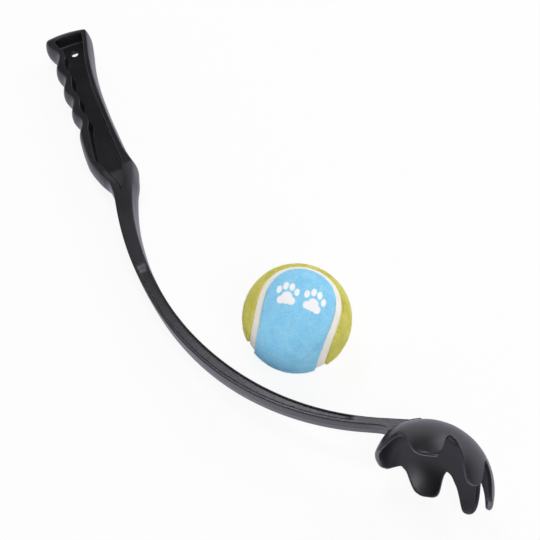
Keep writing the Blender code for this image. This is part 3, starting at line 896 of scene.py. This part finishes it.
def seam_material():
    """Cream rubber seam, chalky, darker brown where the pit noise is low."""
    material, tree, shader = shader_nodes("cream_rubber_seam")
    place = ball_coordinates(tree)
    clouds = noise_map(tree, place, 160.0, 4.0, 0.6)
    pits = noise_map(tree, place, 1500.0, 4.0, 0.6)
    tone = blend_colours(tree, ramp(tree, clouds, 0.3, 0.7), (0.90, 0.85, 0.75), (0.94, 0.90, 0.82))
    # Darker brown where the pit noise is low, the same noise that sinks the bump.
    tone = blend_colours(tree, ramp(tree, pits, 0.42, 0.30, 0.0, 0.4), tone, (0.68, 0.60, 0.47))
    tree.links.new(tone, shader.inputs["Base Color"])
    shader.inputs["Roughness"].default_value = 0.75
    bump = add(tree, "ShaderNodeBump", Strength=0.4, Distance=0.0003, Height=pits)
    tree.links.new(bump.outputs[0], shader.inputs["Normal"])
    return material


def dress(item, material, body):
    """Give a piece its material and the body that it moves with."""
    item.data.materials.clear()
    item.data.materials.append(material)
    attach(item, body)


grip_end = Vector(mounts["pommel_end"]["pos_m"])
face_up = Vector(mounts["grip_web_face"]["axis"]).normalized()
grip_ahead = -Vector(mounts["pommel_end"]["axis"])
grip_ahead = (grip_ahead - face_up * grip_ahead.dot(face_up)).normalized()
end_palm, end_finger = palm_offset(0.0) - pommel_radius, finger_offset(0.0) - pommel_radius
end_slope = pommel_slant / (end_palm + end_finger)
grip_ahead.rotate(Matrix.Rotation(math.atan(end_slope), 3, face_up))
chord = grip_ahead.copy()
chord.rotate(Matrix.Rotation(math.radians(grip_lean_deg), 3, face_up))
sideways = face_up.cross(chord)
grip_start = grip_end + grip_ahead * end_slope * end_palm
thrower_place = Matrix.Translation(grip_start) @ Matrix((chord, sideways, face_up)).transposed().to_4x4()

about_x, about_y, about_z = (math.radians(angle) for angle in ball_turn_deg)
ball_turn = Matrix.Identity(4)
for angle, axis in ((about_z, "Z"), (about_y, "Y"), (about_x, "X")):
    ball_turn = ball_turn @ Matrix.Rotation(angle, 4, axis)
ball_centre = Vector(joints["ball_roll"]["pos_m"])
ball_place = Matrix.Translation(ball_centre) @ ball_turn

plastic = plastic_material()
for piece in make_thrower(thrower_place):
    dress(piece, plastic, "thrower")
    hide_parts("thrower_moulding")

blue = felt_material("blue_wool_felt", (0.13, 0.43, 0.70), (0.26, 0.67, 0.95), (0.37, 0.76, 0.98), True)
lime = felt_material("lime_wool_felt", (0.42, 0.38, 0.04), (0.63, 0.585, 0.10), (0.75, 0.71, 0.18), False)
for node, material, slot, flip, seed in (
        ("felt_panel_blue", blue, "blue_felt", 1, 11), ("felt_panel_lime", lime, "lime_felt", -1, 12)):
    skin, rim = felt_panel(slot + "_skin", flip, ball_place)
    fibres = felt_fibres(slot + "_fibres", rim, flip, seed, ball_place)
    for piece in (skin, fibres):
        dress(piece, material, "ball")
        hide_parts(node)
seam = seam_band(ball_place)
dress(seam, seam_material(), "ball")
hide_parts("ball_seam")

rubber = rubber_material()
for node in ("ball_core_half_a", "ball_core_half_b"):
    core = frame["nodes"][node]
    core.data.materials.clear()
    core.data.materials.append(rubber)


# Studio: size of the floor, what its painted reflection glow takes from red, green and blue, and the
# lamps
floor_size = 12.0
painted_reflection_losses = (0.09, 0.11, 0.0)
seen_floor_share = 0.90
lamps = (
    ("key", (0.85, -0.12, 1.15), 0.50, 3.8),
    ("arm", (-0.40, -0.10, 1.28), 0.45, 5.2),
    ("back", (-0.35, 1.25, 0.95), 1.1, 8.6),
    ("side", (-1.10, -0.80, 0.60), 1.0, 1.3),
    ("fill", (1.08, -0.15, 0.95), 1.0, 4.0))

# Camera, worked out from the ball, the cup and the grip's depth in the photograph
camera_spot = (0.3031, -0.1903, 0.4891)
camera_sight = (-0.4609, 0.3726, -0.8054)
camera_upward = (-0.6966, 0.4104, 0.5885)
camera_lens = 61.47


def make_stage():
    """Pale floor that keeps the shadow, and soft light all round."""
    bpy.ops.mesh.primitive_plane_add(size=floor_size, location=(0.0, 0.0, 0.0))
    floor = bpy.context.object
    floor.name = "pale_floor"
    material, tree, shader = shader_nodes("pale_floor")
    shader.inputs["Base Color"].default_value = (0.93, 0.93, 0.93, 1.0)
    shader.inputs["Roughness"].default_value = 0.9
    shader.inputs["Specular IOR Level"].default_value = 0.1
    rays = add(tree, "ShaderNodeLightPath").outputs
    # Painted reflection: glossy rays see the floor as a full-strength glow tinted lavender, with no
    # shadow, which lightens the plastic's side bands.
    painted_reflection_colour = {
        channel: maths(tree, "SUBTRACT", 1.0, maths(tree, "MULTIPLY", rays["Is Glossy Ray"], loss))
        for channel, loss in zip(("Red", "Green", "Blue"), painted_reflection_losses)}
    glow = add(tree, "ShaderNodeEmission", Strength=1.0)
    tree.links.new(add(tree, "ShaderNodeCombineColor", **painted_reflection_colour).outputs[0], glow.inputs["Color"])
    seen = maths(tree, "MULTIPLY", rays["Is Camera Ray"], seen_floor_share)
    share = maths(tree, "MAXIMUM", seen, rays["Is Glossy Ray"])
    both = tree.nodes.new("ShaderNodeMixShader")
    tree.links.new(share, both.inputs[0])
    tree.links.new(shader.outputs[0], both.inputs[1])
    tree.links.new(glow.outputs[0], both.inputs[2])
    tree.links.new(both.outputs[0], tree.nodes["Material Output"].inputs["Surface"])
    floor.data.materials.append(material)

    world = bpy.data.worlds.new("studio")
    bpy.context.scene.world = world
    world.use_nodes = True
    tree = world.node_tree
    back = tree.nodes["Background"]
    way = add(tree, "ShaderNodeTexCoord").outputs["Generated"]
    height = add(tree, "ShaderNodeSeparateXYZ", Vector=way).outputs["Z"]
    level = ramp(tree, height, 0.20, 0.50, 1.15, 0.08)
    seen = add(tree, "ShaderNodeLightPath").outputs["Is Camera Ray"]
    tree.links.new(maths(tree, "MAXIMUM", level, seen), back.inputs["Strength"])
    back.inputs["Color"].default_value = (0.98, 0.97, 1.0, 1.0)

    for name, spot, size, power in lamps:
        data = bpy.data.lights.new(name, "AREA")
        data.shape = "DISK"
        data.size = size
        data.energy = power
        lamp = bpy.data.objects.new(name, data)
        bpy.context.scene.collection.objects.link(lamp)
        lamp.location = spot
        lamp.rotation_euler = (-Vector(spot)).to_track_quat("-Z", "Y").to_euler()


def make_camera():
    """Camera at the photograph's angle: its place, its line of sight and its roll."""
    data = bpy.data.cameras.new("camera")
    data.sensor_width = 36.0
    data.lens = camera_lens
    data.clip_start = 0.01
    data.clip_end = 50.0
    camera = bpy.data.objects.new("camera", data)
    bpy.context.scene.collection.objects.link(camera)
    sight = Vector(camera_sight).normalized()
    across = sight.cross(Vector(camera_upward)).normalized()
    upward = across.cross(sight)
    turn = Matrix((across, upward, -sight)).transposed().to_4x4()
    camera.matrix_world = Matrix.Translation(Vector(camera_spot)) @ turn
    bpy.context.scene.camera = camera


make_stage()
make_camera()
bpy.context.scene.view_settings.view_transform = "Standard"

bpy.context.view_layer.update()
